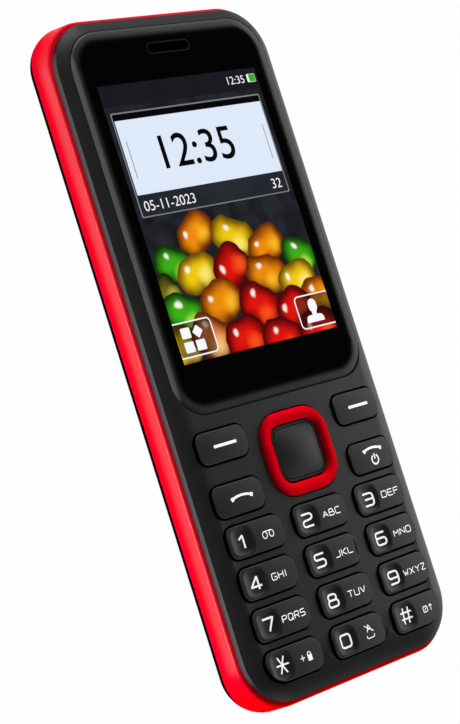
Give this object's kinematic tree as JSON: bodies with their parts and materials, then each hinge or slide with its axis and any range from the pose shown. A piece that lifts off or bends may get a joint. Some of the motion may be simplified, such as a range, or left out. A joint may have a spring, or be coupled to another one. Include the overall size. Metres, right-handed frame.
{
  "type": "feature phone",
  "caption": "Candybar feature phone with a colour display under a gloss window, a number pad, a navigation ring, a red mid frame and a lift-off rear cover.",
  "frame": {"origin": "centre of the phone's plan, on the flat back", "axes": "+X to the phone's right seen from the front, +Y towards the earpiece, +Z out of the display"},
  "size_m": [0.0504, 0.1206, 0.0123],
  "materials": {
    "housing": "satin moulded ABS",
    "frame_red": "glossy red moulded polycarbonate",
    "ring_red": "semi-gloss red moulded plastic",
    "cover": "fine textured moulded ABS",
    "window": "gloss acrylic printed black from behind",
    "mesh": "fine woven dust mesh",
    "keys": "satin moulded plastic with white printed legends",
    "display": "liquid crystal panel in a dark frame",
    "rubber": "moulded silicone",
    "metal": "plain sheet steel",
    "brass": "gold plated copper alloy",
    "board": "green solder mask",
    "battery": "wrapped lithium cell",
    "inner_plastic": "black moulded plastic"
  },
  "bodies": {
    "root": {"front_housing": "housing", "mid_frame": "frame_red", "display_window": "window", "earpiece_mesh": "mesh", "keypad_mat": "rubber", "dome_sheet": "metal", "circuit_board": "board", "display_module": "display", "display_gasket": "rubber", "display_flex": "brass", "earpiece_speaker": "metal", "loudspeaker": "inner_plastic", "microphone": "metal", "vibration_motor": "metal", "battery": "battery", "battery_contacts": "brass", "sim_holders": "metal", "memory_card_holder": "metal", "camera_module": "inner_plastic", "usb_socket": "metal", "antenna": "inner_plastic", "shield_can": "metal", "main_chip": "inner_plastic", "inner_chassis": "inner_plastic", "case_screws": "metal"},
    "soft_key_left": {"soft_key_left": "keys"},
    "soft_key_right": {"soft_key_right": "keys"},
    "call_key": {"call_key": "keys"},
    "end_key": {"end_key": "keys"},
    "key_1": {"key_1": "keys"},
    "key_2": {"key_2": "keys"},
    "key_3": {"key_3": "keys"},
    "key_4": {"key_4": "keys"},
    "key_5": {"key_5": "keys"},
    "key_6": {"key_6": "keys"},
    "key_7": {"key_7": "keys"},
    "key_8": {"key_8": "keys"},
    "key_9": {"key_9": "keys"},
    "key_star": {"key_star": "keys"},
    "key_0": {"key_0": "keys"},
    "key_hash": {"key_hash": "keys"},
    "ok_key": {"ok_key": "keys"},
    "nav_carrier": {"nav_carrier": "rubber"},
    "nav_ring": {"nav_ring": "ring_red"},
    "rear_cover": {"rear_cover": "cover", "camera_window": "window"},
    "vibration_weight": {"vibration_weight": "brass"}
  },
  "joints": [
    {"name": "soft_key_left_press", "type": "slide", "parent": "root", "child": "soft_key_left", "axis": [0, 0, -1], "range_m": [0, 0.00035], "stiffness_N_per_m": 1000},
    {"name": "soft_key_right_press", "type": "slide", "parent": "root", "child": "soft_key_right", "axis": [0, 0, -1], "range_m": [0, 0.00035], "stiffness_N_per_m": 1000},
    {"name": "call_key_press", "type": "slide", "parent": "root", "child": "call_key", "axis": [0, 0, -1], "range_m": [0, 0.00035], "stiffness_N_per_m": 1000},
    {"name": "end_key_press", "type": "slide", "parent": "root", "child": "end_key", "axis": [0, 0, -1], "range_m": [0, 0.00035], "stiffness_N_per_m": 1000},
    {"name": "key_1_press", "type": "slide", "parent": "root", "child": "key_1", "axis": [0, 0, -1], "range_m": [0, 0.00035], "stiffness_N_per_m": 1000},
    {"name": "key_2_press", "type": "slide", "parent": "root", "child": "key_2", "axis": [0, 0, -1], "range_m": [0, 0.00035], "stiffness_N_per_m": 1000},
    {"name": "key_3_press", "type": "slide", "parent": "root", "child": "key_3", "axis": [0, 0, -1], "range_m": [0, 0.00035], "stiffness_N_per_m": 1000},
    {"name": "key_4_press", "type": "slide", "parent": "root", "child": "key_4", "axis": [0, 0, -1], "range_m": [0, 0.00035], "stiffness_N_per_m": 1000},
    {"name": "key_5_press", "type": "slide", "parent": "root", "child": "key_5", "axis": [0, 0, -1], "range_m": [0, 0.00035], "stiffness_N_per_m": 1000},
    {"name": "key_6_press", "type": "slide", "parent": "root", "child": "key_6", "axis": [0, 0, -1], "range_m": [0, 0.00035], "stiffness_N_per_m": 1000},
    {"name": "key_7_press", "type": "slide", "parent": "root", "child": "key_7", "axis": [0, 0, -1], "range_m": [0, 0.00035], "stiffness_N_per_m": 1000},
    {"name": "key_8_press", "type": "slide", "parent": "root", "child": "key_8", "axis": [0, 0, -1], "range_m": [0, 0.00035], "stiffness_N_per_m": 1000},
    {"name": "key_9_press", "type": "slide", "parent": "root", "child": "key_9", "axis": [0, 0, -1], "range_m": [0, 0.00035], "stiffness_N_per_m": 1000},
    {"name": "key_star_press", "type": "slide", "parent": "root", "child": "key_star", "axis": [0, 0, -1], "range_m": [0, 0.00035], "stiffness_N_per_m": 1000},
    {"name": "key_0_press", "type": "slide", "parent": "root", "child": "key_0", "axis": [0, 0, -1], "range_m": [0, 0.00035], "stiffness_N_per_m": 1000},
    {"name": "key_hash_press", "type": "slide", "parent": "root", "child": "key_hash", "axis": [0, 0, -1], "range_m": [0, 0.00035], "stiffness_N_per_m": 1000},
    {"name": "ok_key_press", "type": "slide", "parent": "root", "child": "ok_key", "axis": [0, 0, -1], "range_m": [0, 0.00035], "stiffness_N_per_m": 1000},
    {"name": "nav_left_right", "type": "hinge", "parent": "root", "child": "nav_carrier", "pos_m": [0, -0.02022, 0.00743], "axis": [0, 1, 0], "range_deg": [-1.8, 1.8], "stiffness_Nm_per_rad": 0.2},
    {"name": "nav_up_down", "type": "hinge", "parent": "nav_carrier", "child": "nav_ring", "pos_m": [0, -0.02022, 0.00887], "axis": [1, 0, 0], "range_deg": [-1.8, 1.8], "stiffness_Nm_per_rad": 0.2},
    {"name": "rear_cover_lift", "type": "slide", "parent": "root", "child": "rear_cover", "axis": [0, 0, -1], "range_m": [0, 0.014]},
    {"name": "vibration_spin", "type": "hinge", "parent": "root", "child": "vibration_weight", "pos_m": [0.017, -0.0497, 0.0035], "axis": [1, 0, 0], "continuous": true}
  ]
}
